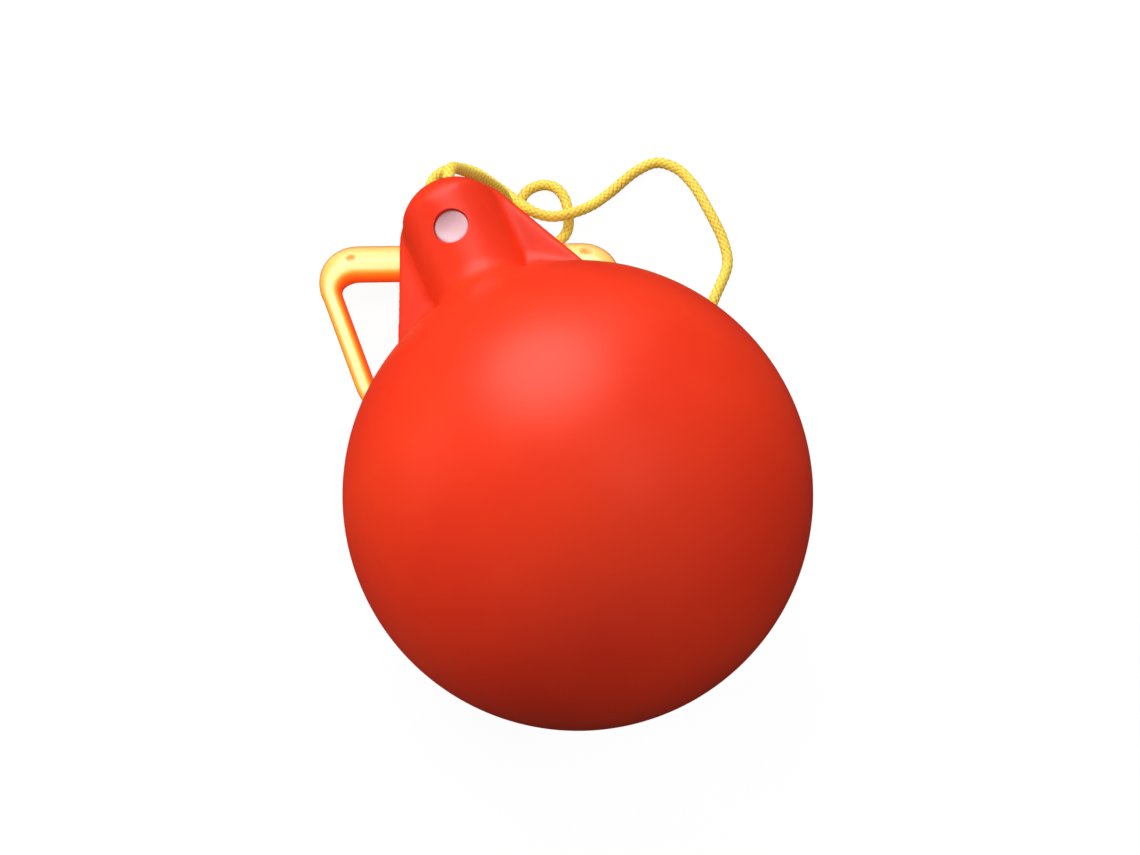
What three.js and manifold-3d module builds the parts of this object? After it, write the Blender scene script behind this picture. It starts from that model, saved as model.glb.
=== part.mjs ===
// A children's throwing hammer, lying on a floor: a hollow ball of soft red PVC with its lug moulded on,
// a white cross pin through the lug, a yellow braided rope and a moulded handle of clear yellow plastic.
// Millimetres, +Z up. The hammer stands on z = 0, and the origin is below the middle of its rigid pieces.
import * as THREE from "three";
import { mergeVertices } from "three/addons/utils/BufferGeometryUtils.js";
import Module from "manifold-3d";

const wasm = await Module();
wasm.setup();

// The ball. Its soft wall flattens a little where it stands.
const ballRadius = 80;
const ballWall = 3.3;
const restPatchRadius = 6;
const ballSides = 64;
const hollowSides = 40;

// The lug: a round column with a rounded end, between two flat webs that spread towards the ball.
const lugBearing = 23.9; // degrees to the left of +Y
const headRoll = 10; // degrees that the head leans to its lug's left, about the lug's own line
const lugRadius = 18.8;
const lugEndReach = 103.5; // ball centre to the centre of the rounded end
const lugEndRounding = 11;
const webEndRadius = 22.5; // the webs' end is flatter than the column's, and as far out
const webSpread = 23.8; // degrees between each web's edge and the lug's own line
const webThickness = 10;
const webEdgeRounding = 1.6;
const lugRootDepth = 20; // how far the lug's blank reaches into the ball before the hollow is cut
const lugSides = 40;

// The slot round the lug's end, in which the rope's eye turns on the cross pin.
const slotHeight = 6;
const slotMouthWidth = 35.4;
const slotFlare = 7.5; // pin to where the slot has opened out to its mouth
const slotClearance = 0.8;

// The cross pin, recessed in its hole at both ends.
const pinSetback = 2.1; // centre of the lug's rounded end to the pin, towards the ball
const pinRadius = 6;
const pinLength = 32.6;
const pinChamfer = 0.6;
const pinHoleRadius = 6.3;

// The vent that the hollow ball is moulded through, low on the side away from the lug, and its plug.
const ventElevation = -35; // degrees, from the ball's middle
const ventRadius = 4;
const ventSeatRadius = 6.3;
const ventSeatDepth = 1.5;
const plugStemRadius = 3.7;
const plugHeadRadius = 6;
const plugInset = 0.25; // head's face below the ball's surface
const plugReach = 1; // stem past the wall's inner face

// The rope, and the eye spliced in its end round the pin.
const ropeDiameter = 4.4;
const seatGap = 0.3; // between pieces that lie against each other
const eyeSwing = 12; // degrees that the eye lies to the right of the lug's own line
const eyeLength = 16.5; // pin to the point where the eye's two sides meet
const throatRadius = 2.65;
const throatStart = 13;
const throatTaper = 2.5;
const throatEnd = 19; // pin to the end of the splice
const ropeSides = 10;
const ropeSteps = 80;
const loopSides = 32;

// The handle: grip bar, two legs and a rounded foot with a waist that the rope is tied round.
const handleHeight = 66.3; // middle of the foot to the middle of the grip
const gripRadius = 7.2;
const gripHalfWidth = 53.5; // to the outermost point of the middle line
const gripCornerRadius = 10;
const legSlope = 20.2; // degrees
const legHalfWidth = 3.7;
const legHalfThickness = 4;
const footCornerRadius = 26;
const waistRadius = 2.5;
const waistHalfLength = 3.2;
const waistTaper = 4;
const waistPointShares = [-1, -0.75, -0.5, -0.25, 0, 0.25, 0.5, 0.75, 1];
const handleSides = 20;
const handleCornerSteps = 8;

// The two dimples that the mould's pins leave in the grip.
const dimplePlaces = [
  { reach: -46.3, tilt: 0 },
  { reach: 43.5, tilt: 23 },
]; // from the middle of the grip, and degrees from straight up
const dimpleRadius = 1.8;
const dimpleDepth = 0.7;

// Where the middle of the foot lies, from the point on which the ball stands.
const handleX = -41.2;
const handleY = 46;
const handleTurn = 0.9; // degrees

// The knot that holds the rope's loop on the handle, a trefoil pulled tight.
const knotScale = 1.8;
const knotLobes = 3;
const knotParts = 6;
const knotSteps = 9;
const knotOverlapShare = 0.04; // share of a turn by which the knot's parts run into each other
const knotReach = 8; // middle of the foot's loop to the middle of the knot, past the loop itself
const knotLead = 9; // middle of the knot to the end of the free rope

const overrun = 5; // by which a cutting shape passes the face that it opens
const eyeOverrun = 5; // degrees by which the eye's two sides run into each other behind the pin
const toRadians = THREE.MathUtils.degToRad;

const ropeRadius = ropeDiameter / 2;
const standHeight = Math.sqrt(ballRadius ** 2 - restPatchRadius ** 2);
const hollowRadius = ballRadius - ballWall;
const pinReach = lugEndReach - pinSetback;
const webEndReach = lugEndReach + lugRadius - webEndRadius;
const eyeRadius = pinRadius + seatGap + ropeRadius;
const loopRadius = waistRadius + seatGap + ropeRadius;
const knotY = -loopRadius - knotReach;
const floorZ = -gripRadius; // seen from the handle's middle plane

// The rope's way, from the point on which the ball stands: out of the slot and down to the floor, a small
// loop, left behind the grip, the wide curve over the loop, and round under the ball to the handle.
const ropeWay = [
  [-46.2, 117, 80.1],
  [-46.1, 120.1, 78.7],
  [-45.4, 122.7, 76],
  [-44.1, 124.3, 72.3],
  [-42, 126.2, 66],
  [-37.4, 128.6, 55.5],
  [-32.8, 130.1, 44.5],
  [-28.5, 131.3, 32],
  [-26.2, 131.1, 18],
  [-25.7, 130.9, 11.5],
  [-25.5, 131.6, 7.9],
  [-25, 133.5, 5],
  [-24.2, 136.3, 3],
  [-23, 140, 2.3],
  [-20.2, 144.6, 2.3],
  [-16.8, 146.8, 2.3],
  [-12.2, 147.7, 2.3],
  [-8.1, 146.2, 2.3],
  [-5.1, 142.5, 2.3],
  [-3.6, 137.4, 2.3],
  [-3.2, 130.9, 2.3],
  [-3.9, 127.5, 2.3],
  [-5.9, 124.5, 2.3],
  [-9, 122.5, 2.3],
  [-12.6, 121.9, 2.3],
  [-24, 122, 2.3],
  [-40, 124.2, 2.3],
  [-51, 130, 2.3],
  [-57.4, 138.2, 2.3],
  [-59.2, 146, 2.3],
  [-56.6, 151.6, 2.3],
  [-51, 154.8, 2.3],
  [-46, 154.8, 2.6],
  [-40.6, 152.4, 4],
  [-32, 145, 7.3],
  [-25.9, 139.6, 8.8],
  [-21.3, 135.9, 9],
  [-15.5, 132.5, 9],
  [-9, 131.4, 8.8],
  [-1.4, 133.4, 7.8],
  [6.2, 138, 4.6],
  [13.4, 144.2, 2.5],
  [24.3, 153.8, 2.3],
  [32.6, 157.4, 2.3],
  [40.2, 155, 2.3],
  [46.6, 148.4, 2.3],
  [52.8, 137, 2.3],
  [58.6, 123.4, 2.3],
  [60, 113.6, 2.3],
  [54.4, 98.8, 2.3],
  [48.6, 83, 2.3],
  [47.4, 64, 2.3],
  [54, 38, 2.3],
  [56.6, 12, 2.3],
  [46, -17, 2.3],
  [21, -39, 2.3],
  [-10, -43.4, 2.3],
  [-33.7, -25, 2.3],
  [-40.7, -2, 2.3],
];

// A closed mesh as a solid that can be joined and cut.
function solid(geometry) {
  const bare = geometry.clone();
  bare.deleteAttribute("normal");
  bare.deleteAttribute("uv");
  const merged = mergeVertices(bare);
  return new wasm.Manifold(
    new wasm.Mesh({
      numProp: 3,
      vertProperties: new Float32Array(merged.attributes.position.array),
      triVerts: new Uint32Array(merged.index.array),
    }),
  );
}

// A joined or cut solid as a geometry again.
function geometryOf(made) {
  const mesh = made.getMesh();
  const geometry = new THREE.BufferGeometry();
  geometry.setAttribute("position", new THREE.BufferAttribute(mesh.vertProperties, 3));
  geometry.setIndex(new THREE.BufferAttribute(mesh.triVerts, 1));
  geometry.computeVertexNormals();
  return geometry;
}

// A plan outline as a plate of that thickness about z = 0, with its edges rounded off.
function plate(outline, thickness, rounding, roundingSteps) {
  const geometry = new THREE.ExtrudeGeometry(outline, {
    depth: thickness - 2 * rounding,
    bevelEnabled: rounding > 0,
    bevelSize: rounding,
    bevelThickness: rounding,
    bevelOffset: -rounding,
    bevelSegments: roundingSteps,
    curveSegments: lugSides / 2,
  });
  return geometry.translate(0, 0, rounding - thickness / 2);
}

// A sphere with its poles on the vertical.
function sphere(radius, sides) {
  return new THREE.SphereGeometry(radius, sides, sides / 2).rotateX(Math.PI / 2);
}

// A body of revolution about the vertical, from a profile of [radius, height] points.
function turned(profile, sides) {
  const points = profile.map(([radius, height]) => new THREE.Vector2(radius, height));
  return new THREE.LatheGeometry(points, sides).rotateX(Math.PI / 2);
}

// A round cord along a curve.
function cordAlong(curve, steps) {
  const section = new THREE.Shape().absarc(0, 0, ropeRadius, 0, 2 * Math.PI);
  return new THREE.ExtrudeGeometry(section, {
    steps,
    curveSegments: ropeSides / 2,
    extrudePath: curve,
  });
}

// The lug's blank, its own line along +Y from the ball's centre: the webs and the column between them.
function lugBlank() {
  const spread = toRadians(webSpread);
  const root = ballRadius - lugRootDepth;
  const touchX = webEndRadius * Math.cos(spread);
  const touchY = webEndReach + webEndRadius * Math.sin(spread);
  const rootX = touchX + (touchY - root) * Math.tan(spread);
  const webs = new THREE.Shape()
    .moveTo(rootX, root)
    .lineTo(touchX, touchY)
    .absarc(0, webEndReach, webEndRadius, spread, Math.PI - spread)
    .lineTo(-rootX, root)
    .lineTo(rootX, root);
  const run = new THREE.Shape()
    .moveTo(lugRadius, root)
    .lineTo(lugRadius, lugEndReach)
    .absarc(0, lugEndReach, lugRadius, 0, Math.PI)
    .lineTo(-lugRadius, root)
    .lineTo(lugRadius, root);
  const length = 2 * (lugEndReach + 2 * lugRadius);
  const round = new THREE.CylinderGeometry(lugRadius, lugRadius, length, lugSides);
  const column = solid(plate(run, 2 * lugRadius, lugEndRounding, 5)).intersect(solid(round));
  return solid(plate(webs, webThickness, webEdgeRounding, 3)).add(column);
}

// The slot, in plan a round pocket for the eye that opens out to the lug's end.
function slotCutter() {
  const pocket = eyeRadius + ropeRadius + slotClearance;
  const half = slotMouthWidth / 2;
  const mouth = lugEndReach + lugRadius + overrun - pinReach;
  const outline = new THREE.Shape()
    .moveTo(half, slotFlare)
    .lineTo(half, mouth)
    .lineTo(-half, mouth)
    .lineTo(-half, slotFlare)
    .lineTo(-pocket, 0)
    .absarc(0, 0, pocket, Math.PI, 2 * Math.PI)
    .lineTo(half, slotFlare);
  return solid(plate(outline, slotHeight, 0, 0).translate(0, pinReach, 0));
}

// Turns something made along +Z, from the ball's centre, into the vent's direction.
function toVent(geometry) {
  return geometry.rotateX(Math.PI / 2 + toRadians(-ventElevation));
}

function ballShell() {
  const holeHeight = 2 * (lugRadius + overrun);
  const hole = new THREE.CylinderGeometry(pinHoleRadius, pinHoleRadius, holeHeight, lugSides);
  const vent = turned(
    [
      [0, hollowRadius - overrun],
      [ventRadius, hollowRadius - overrun],
      [ventRadius, ballRadius - ventSeatDepth],
      [ventSeatRadius, ballRadius - ventSeatDepth],
      [ventSeatRadius, ballRadius + overrun],
      [0, ballRadius + overrun],
    ],
    lugSides / 2,
  );
  const belowFloor = new THREE.BoxGeometry(ballRadius, ballRadius, overrun)
    .translate(0, 0, -standHeight - overrun / 2)
    .rotateY(toRadians(headRoll));
  const made = solid(sphere(ballRadius, ballSides))
    .add(lugBlank())
    .subtract(solid(sphere(hollowRadius, hollowSides)))
    .subtract(slotCutter())
    .subtract(solid(hole.rotateX(Math.PI / 2).translate(0, pinReach, 0)))
    .subtract(solid(toVent(vent)))
    .subtract(solid(belowFloor));
  return geometryOf(made);
}

function crossPin() {
  const half = pinLength / 2;
  return turned(
    [
      [0, -half],
      [pinRadius - pinChamfer, -half],
      [pinRadius, pinChamfer - half],
      [pinRadius, half - pinChamfer],
      [pinRadius - pinChamfer, half],
      [0, half],
    ],
    lugSides,
  );
}

// The plug: a stem through the wall, and a head let into the ball's surface.
function ventPlug() {
  const headBase = ballRadius - ventSeatDepth + seatGap;
  const rim = Math.sqrt(ballRadius ** 2 - plugHeadRadius ** 2) - plugInset;
  return toVent(
    turned(
      [
        [0, hollowRadius - plugReach],
        [plugStemRadius, hollowRadius - plugReach],
        [plugStemRadius, headBase],
        [plugHeadRadius, headBase],
        [plugHeadRadius, rim],
        [0, ballRadius - plugInset],
      ],
      lugSides / 2,
    ),
  );
}

// One side of the eye, from behind the pin round to where both sides meet; hand is 1 or -1.
function eyeSide(hand) {
  const touch = Math.asin(eyeRadius / eyeLength);
  const first = -Math.PI / 2 - toRadians(eyeOverrun);
  const points = [];
  for (let i = 0; i <= loopSides / 2; i += 1) {
    const angle = first + ((touch - first) * i) / (loopSides / 2);
    points.push(
      new THREE.Vector3(hand * eyeRadius * Math.cos(angle), eyeRadius * Math.sin(angle), 0),
    );
  }
  const curve = new THREE.CurvePath();
  curve.add(new THREE.CatmullRomCurve3(points));
  curve.add(new THREE.LineCurve3(points[points.length - 1], new THREE.Vector3(0, eyeLength, 0)));
  return solid(cordAlong(curve, loopSides / 2 + 2));
}

// The eye, with the pin at the origin and its throat along +Y.
function ropeEye() {
  const throat = turned(
    [
      [0, throatStart],
      [ropeRadius, throatStart],
      [throatRadius, throatStart + throatTaper],
      [throatRadius, throatEnd - throatTaper],
      [ropeRadius, throatEnd],
      [0, throatEnd],
    ],
    2 * ropeSides,
  );
  return geometryOf(eyeSide(1).add(eyeSide(-1)).add(solid(throat.rotateX(-Math.PI / 2))));
}

// A closed ring of sections; each has its centre, its two half axes and its half sizes along them.
function ringOf(sections, sides) {
  const positions = [];
  const faces = [];
  sections.forEach(({ centre, across, up, halfWidth, halfThickness }, i) => {
    const next = (i + 1) % sections.length;
    for (let k = 0; k < sides; k += 1) {
      const angle = (2 * Math.PI * k) / sides;
      const place = centre
        .clone()
        .addScaledVector(across, halfWidth * Math.cos(angle))
        .addScaledVector(up, halfThickness * Math.sin(angle));
      positions.push(place.x, place.y, place.z);
      const here = i * sides;
      const there = next * sides;
      const l = (k + 1) % sides;
      faces.push(here + k, there + k, here + l, here + l, there + k, there + l);
    }
  });
  const geometry = new THREE.BufferGeometry();
  geometry.setAttribute("position", new THREE.Float32BufferAttribute(positions, 3));
  geometry.setIndex(faces);
  geometry.computeVertexNormals();
  return geometry;
}

// Points along the handle's middle line, clockwise from the middle of the foot, closer in its corners.
function handleLine() {
  const tilt = toRadians(legSlope);
  const gripCorner = gripHalfWidth + gripCornerRadius * (1 / Math.tan(Math.PI / 4 - tilt / 2) - 1);
  const footCorner = gripCorner - handleHeight * Math.tan(tilt);
  const corners = [
    { at: new THREE.Vector3(-footCorner, 0, 0), radius: footCornerRadius },
    { at: new THREE.Vector3(-gripCorner, handleHeight, 0), radius: gripCornerRadius },
    { at: new THREE.Vector3(gripCorner, handleHeight, 0), radius: gripCornerRadius },
    { at: new THREE.Vector3(footCorner, 0, 0), radius: footCornerRadius },
  ];
  const axis = new THREE.Vector3(0, 0, 1);
  const path = [];
  corners.forEach(({ at, radius }, i) => {
    const inward = corners[(i + 3) % corners.length].at.clone().sub(at).normalize();
    const outward = corners[(i + 1) % corners.length].at.clone().sub(at).normalize();
    const half = inward.angleTo(outward) / 2;
    const bisector = inward.clone().add(outward).normalize();
    const centre = at.clone().addScaledVector(bisector, radius / Math.sin(half));
    const from = at.clone().addScaledVector(inward, radius / Math.tan(half)).sub(centre);
    for (let step = 0; step <= handleCornerSteps; step += 1) {
      const turn = -((Math.PI - 2 * half) * step) / handleCornerSteps;
      path.push(from.clone().applyAxisAngle(axis, turn).add(centre));
    }
  });
  const waist = waistPointShares.map(
    (share) => new THREE.Vector3(-share * (waistHalfLength + waistTaper), 0, 0),
  );
  return [...path, ...waist];
}

// The bar's half sizes at a point: thick in the grip, slim in the legs, thin in the waist.
function barSizes(point) {
  const ease = THREE.MathUtils.smoothstep;
  const gripShare = ease(point.y, handleHeight - 2 * gripCornerRadius, handleHeight);
  const fromWaist = Math.abs(point.x) - waistHalfLength;
  const waistShare = point.y > waistRadius ? 0 : 1 - ease(fromWaist, 0, waistTaper);
  const mix = (leg) => leg + (gripRadius - leg) * gripShare - (leg - waistRadius) * waistShare;
  return { halfWidth: mix(legHalfWidth), halfThickness: mix(legHalfThickness) };
}

// The handle in its own frame: the foot's middle at the origin, the grip towards +Y.
function handle() {
  const line = handleLine();
  const up = new THREE.Vector3(0, 0, 1);
  const sections = line.map((centre, i) => {
    const before = line[(i + line.length - 1) % line.length];
    const after = line[(i + 1) % line.length];
    const tangent = after.clone().sub(before).normalize();
    const across = new THREE.Vector3().crossVectors(tangent, up);
    return { centre, across, up, ...barSizes(centre) };
  });
  let made = solid(ringOf(sections, handleSides));
  for (const { reach, tilt } of dimplePlaces) {
    const dimple = new THREE.CylinderGeometry(dimpleRadius, dimpleRadius, overrun, ropeSides + 2)
      .rotateX(Math.PI / 2)
      .translate(0, 0, gripRadius - dimpleDepth + overrun / 2)
      .rotateX(-toRadians(tilt))
      .translate(reach, handleHeight, 0);
    made = made.subtract(solid(dimple));
  }
  return geometryOf(made);
}

// One part of the knot, between two shares of its whole turn.
function knotPart(from, to) {
  const points = [];
  for (let i = 0; i <= knotSteps; i += 1) {
    const turn = 2 * Math.PI * (from + ((to - from) * i) / knotSteps);
    const reach = knotScale * (2 + Math.cos(knotLobes * turn));
    points.push(
      new THREE.Vector3(
        reach * Math.cos(2 * turn),
        reach * Math.sin(2 * turn) + knotY,
        knotScale * Math.sin(knotLobes * turn) + floorZ + knotScale + ropeRadius,
      ),
    );
  }
  return solid(cordAlong(new THREE.CatmullRomCurve3(points), knotSteps));
}

// The rope's loop round the handle's waist and the knot that closes it, in the handle's frame.
function handleLoop() {
  const loop = new THREE.TorusGeometry(loopRadius, ropeRadius, ropeSides, loopSides);
  const leadLength = knotLead - knotScale;
  const lead = new THREE.CylinderGeometry(ropeRadius, ropeRadius, leadLength, ropeSides);
  const neck = new THREE.CylinderGeometry(ropeRadius, ropeRadius, knotReach, ropeSides);
  let made = solid(loop.rotateY(Math.PI / 2))
    .add(solid(lead.translate(0, knotY - knotLead + leadLength / 2, floorZ + ropeRadius)))
    .add(solid(neck.translate(0, knotY + knotReach / 2, floorZ + knotScale + ropeRadius)));
  for (let i = 0; i < knotParts; i += 1) {
    made = made.add(knotPart((i - knotOverlapShare) / knotParts, (i + 1 + knotOverlapShare) / knotParts));
  }
  return geometryOf(made);
}

// The free rope, from the end of the eye's splice to the knot at the handle.
function freeRope(from, fromDirection, to, toDirection) {
  const way = ropeWay.map(([x, y, z]) => new THREE.Vector3(x, y, z));
  const start = from.clone().addScaledVector(fromDirection, seatGap);
  const end = to.clone().addScaledVector(toDirection, -seatGap);
  const points = [
    start,
    start.clone().addScaledVector(fromDirection, ropeRadius),
    ...way,
    end.clone().addScaledVector(toDirection, -2 * ropeDiameter),
    end,
  ];
  return cordAlong(new THREE.CatmullRomCurve3(points, false, "centripetal"), ropeSteps);
}

const redPvc = new THREE.MeshStandardMaterial({ color: 0xe8321f, roughness: 0.45 });
const whiteNylon = new THREE.MeshStandardMaterial({ color: 0xf1e6e4, roughness: 0.4 });
const yellowRope = new THREE.MeshStandardMaterial({ color: 0xe8c22a, roughness: 0.9 });
const clearYellow = new THREE.MeshStandardMaterial({ color: 0xf7c04a, roughness: 0.3 });

function piece(name, geometry, material) {
  const mesh = new THREE.Mesh(geometry, material);
  mesh.name = name;
  return mesh;
}

const hammer = new THREE.Group();

const head = new THREE.Group();
head.position.z = standHeight;
head.rotation.set(0, -toRadians(headRoll), toRadians(lugBearing), "ZYX");
head.add(piece("ball_shell", ballShell(), redPvc));
head.add(piece("vent_plug", ventPlug(), redPvc));
hammer.add(head);

const pinPlace = new THREE.Group();
pinPlace.position.y = pinReach;
pinPlace.add(piece("cross_pin", crossPin(), whiteNylon));
head.add(pinPlace);

const eyePlace = new THREE.Group();
eyePlace.rotation.z = -toRadians(eyeSwing);
eyePlace.add(piece("rope_eye", ropeEye(), yellowRope));
pinPlace.add(eyePlace);

const handlePlace = new THREE.Group();
handlePlace.position.set(handleX, handleY, gripRadius);
handlePlace.rotation.z = toRadians(handleTurn);
handlePlace.add(piece("handle", handle(), clearYellow));
handlePlace.add(piece("rope_handle_loop", handleLoop(), yellowRope));
hammer.add(handlePlace);

hammer.updateMatrixWorld(true);
const exit = new THREE.Vector3(0, throatEnd, 0).applyMatrix4(eyePlace.matrixWorld);
const exitDirection = new THREE.Vector3(0, 1, 0).transformDirection(eyePlace.matrixWorld);
const arrival = new THREE.Vector3(0, knotY - knotLead, floorZ + ropeRadius);
arrival.applyMatrix4(handlePlace.matrixWorld);
const arrivalDirection = new THREE.Vector3(0, 1, 0).transformDirection(handlePlace.matrixWorld);
hammer.add(piece("rope_free", freeRope(exit, exitDirection, arrival, arrivalDirection), yellowRope));

// The origin goes below the middle of the rigid pieces.
const rigid = new THREE.Box3();
head.traverse((child) => {
  if (child.isMesh && child.name !== "rope_eye") rigid.expandByObject(child, true);
});
handlePlace.traverse((child) => {
  if (child.name === "handle") rigid.expandByObject(child, true);
});
const middle = rigid.getCenter(new THREE.Vector3());
hammer.position.set(-middle.x, -middle.y, 0);
hammer.updateMatrixWorld(true);

export default hammer;
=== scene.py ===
import math

import bmesh
import bpy
from mathutils import Matrix, Vector


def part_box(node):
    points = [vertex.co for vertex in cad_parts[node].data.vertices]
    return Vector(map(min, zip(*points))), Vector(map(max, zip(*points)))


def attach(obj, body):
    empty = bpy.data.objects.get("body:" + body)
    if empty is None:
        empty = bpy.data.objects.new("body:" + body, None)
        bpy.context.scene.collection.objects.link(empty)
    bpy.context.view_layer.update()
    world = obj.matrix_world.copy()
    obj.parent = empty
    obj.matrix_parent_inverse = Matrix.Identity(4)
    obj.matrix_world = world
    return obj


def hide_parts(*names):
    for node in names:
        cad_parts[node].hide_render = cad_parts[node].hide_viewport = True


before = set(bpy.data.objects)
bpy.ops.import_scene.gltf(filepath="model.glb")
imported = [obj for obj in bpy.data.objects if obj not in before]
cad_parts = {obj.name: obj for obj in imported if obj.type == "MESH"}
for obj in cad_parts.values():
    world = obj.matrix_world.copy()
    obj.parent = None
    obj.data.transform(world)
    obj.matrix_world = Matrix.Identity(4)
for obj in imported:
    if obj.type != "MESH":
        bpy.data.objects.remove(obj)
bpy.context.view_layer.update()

# The ball and its lug: one hollow moulding of soft PVC in two mould halves, with a round column on the lug,
# flat webs on both sides of it, and a slot and a pin hole cut through its end.

mm = 0.001
ball_radius = 80 * mm
rest_patch_radius = 6 * mm
lug_bearing = math.radians(23.9)
head_roll = math.radians(10)
lug_radius = 18.8 * mm
lug_end_reach = 103.9 * mm
lug_end_rounding = 11 * mm
lug_root = 58 * mm
web_spread = math.radians(23.8)
web_end_radius = 22.5 * mm
web_end_reach = lug_end_reach + lug_radius - web_end_radius
web_thickness = 10 * mm
web_rounding = 1.6 * mm
pin_reach = 101.4 * mm
pin_hole_radius = 6.3 * mm
slot_height = 6 * mm
slot_mouth = 35.4 * mm
slot_pocket = 11.5 * mm
slot_flare = 7.5 * mm
vent_tilt = math.radians(35)
vent_seat_radius = 6.3 * mm
vent_seat_depth = 1.5 * mm
skin_pitch = 1.2 * mm
root_fillet = 9 * mm
fillet_fade = 11 * mm
least_fillet = 0.1
fillet_passes = 3
lug_smoothing = 0.4
smoothing_passes = 2
overrun = 10 * mm
ball_subdivisions = 7
column_sides = 160
hole_sides = 96
skin_sharp_angle = math.radians(38)

stand_height = math.sqrt(ball_radius**2 - rest_patch_radius**2)
pin_low, pin_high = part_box("cross_pin")
pin_centre = (pin_low + pin_high) / 2
lug_line = Vector((-math.sin(lug_bearing), math.cos(lug_bearing), 0))
ball_centre = pin_centre - lug_line * pin_reach
head_place = Matrix.Translation(ball_centre) @ Matrix.Rotation(lug_bearing, 4, "Z")
head_place = head_place @ Matrix.Rotation(-head_roll, 4, "Y")
pin_place = head_place @ Matrix.Translation((0, pin_reach, 0))
head_up = (head_place.to_3x3() @ Vector((0, 0, 1))).normalized()


def linear(hex_colour):
    parts = [int(hex_colour[i : i + 2], 16) / 255 for i in (0, 2, 4)]
    return [v / 12.92 if v <= 0.04045 else ((v + 0.055) / 1.055) ** 2.4 for v in parts] + [1]


def add_node(owner, kind, settings=None, inputs=None):
    node = owner.node_tree.nodes.new(kind)
    for name, value in (settings or {}).items():
        setattr(node, name, value)
    for name, value in (inputs or {}).items():
        if isinstance(value, bpy.types.NodeSocket):
            owner.node_tree.links.new(value, node.inputs[name])
        else:
            node.inputs[name].default_value = value
    return node


def new_material(name):
    material = bpy.data.materials.new(name)
    material.use_nodes = True
    material.node_tree.nodes.clear()
    return material


def piece(name, bm, smooth=True):
    mesh = bpy.data.meshes.new(name)
    bm.to_mesh(mesh)
    bm.free()
    for face in mesh.polygons:
        face.use_smooth = smooth
    made = bpy.data.objects.new(name, mesh)
    bpy.context.collection.objects.link(made)
    return made


def outlined_plate(outline, thickness, rounding, steps):
    bm = bmesh.new()
    corners = [bm.verts.new((x, y, -thickness / 2)) for x, y in outline]
    face = bm.faces.new(corners)
    raised = bmesh.ops.extrude_face_region(bm, geom=[face])
    top = [v for v in raised["geom"] if isinstance(v, bmesh.types.BMVert)]
    bmesh.ops.translate(bm, verts=top, vec=(0, 0, thickness))
    bmesh.ops.recalc_face_normals(bm, faces=bm.faces[:])
    rims = [e for e in bm.edges if abs(e.verts[0].co.z - e.verts[1].co.z) < thickness / 2]
    if rounding:
        bmesh.ops.bevel(
            bm,
            geom=rims,
            offset=rounding,
            offset_type="OFFSET",
            segments=steps,
            profile=0.5,
            affect="EDGES",
            clamp_overlap=True,
            material=-1,
        )
    return bm


def arc(centre, radius, first, last, steps):
    turns = [math.radians(first + (last - first) * i / steps) for i in range(steps + 1)]
    return [(centre[0] + radius * math.cos(t), centre[1] + radius * math.sin(t)) for t in turns]


def round_rod(radius, length, matrix, sides):
    bm = bmesh.new()
    bmesh.ops.create_cone(
        bm,
        cap_ends=True,
        segments=sides,
        radius1=radius,
        radius2=radius,
        depth=length,
        matrix=matrix,
    )
    return bm


def evaluated_mesh(made):
    graph = bpy.context.evaluated_depsgraph_get()
    return bpy.data.meshes.new_from_object(made.evaluated_get(graph))


def settle_modifiers(made):
    mesh = evaluated_mesh(made)
    old = made.data
    made.modifiers.clear()
    made.data = mesh
    bpy.data.meshes.remove(old)


def combined(made, other, operation):
    cut = made.modifiers.new("cut", "BOOLEAN")
    cut.operation = operation
    cut.solver = "EXACT"
    cut.object = other
    settle_modifiers(made)
    bpy.data.objects.remove(other, do_unlink=True)


column_outline = arc((0, lug_end_reach), lug_radius, 0, 180, 72)
column_outline += [(-lug_radius, lug_root), (lug_radius, lug_root)]
column = piece("column_blank", outlined_plate(column_outline, 2 * lug_radius, lug_end_rounding, 12))
column_length = lug_end_reach + lug_radius - lug_root
column_middle = Matrix.Translation((0, lug_root + column_length / 2, 0))
round_bar = round_rod(
    lug_radius,
    column_length + 2 * overrun,
    column_middle @ Matrix.Rotation(math.pi / 2, 4, "X"),
    column_sides,
)
combined(column, piece("column_round", round_bar), "INTERSECT")

touch_x = web_end_radius * math.cos(web_spread)
touch_y = web_end_reach + web_end_radius * math.sin(web_spread)
root_x = touch_x + (touch_y - lug_root) * math.tan(web_spread)
web_first = math.degrees(web_spread)
web_outline = arc((0, web_end_reach), web_end_radius, web_first, 180 - web_first, 52)
web_outline += [(-root_x, lug_root), (root_x, lug_root)]

blank = bmesh.new()
bmesh.ops.create_icosphere(blank, subdivisions=ball_subdivisions, radius=ball_radius)
blank.from_mesh(column.data)
bpy.data.objects.remove(column, do_unlink=True)
webs = outlined_plate(web_outline, web_thickness, web_rounding, 4)
web_mesh = bpy.data.meshes.new("webs")
webs.to_mesh(web_mesh)
webs.free()
blank.from_mesh(web_mesh)

ball = piece("ball_and_lug", blank)
skin = ball.modifiers.new("skin", "REMESH")
skin.mode = "VOXEL"
skin.voxel_size = skin_pitch
skin.use_smooth_shade = True
settle_modifiers(ball)


def off_column(at):
    return math.hypot(at.x, at.z) - lug_radius


def off_flank(at):
    side = abs(at.x) * math.cos(web_spread)
    return side + (at.y - web_end_reach) * math.sin(web_spread) - web_end_radius


def off_web(at):
    return max(abs(at.z) - web_thickness / 2, off_flank(at))


def filleted(off_one, off_other, fillet):
    """How far a point is outside two bodies that a fillet joins."""
    shared = max(fillet - abs(off_one - off_other), 0)
    return min(off_one, off_other) - shared * shared / (4 * fillet)


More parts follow.
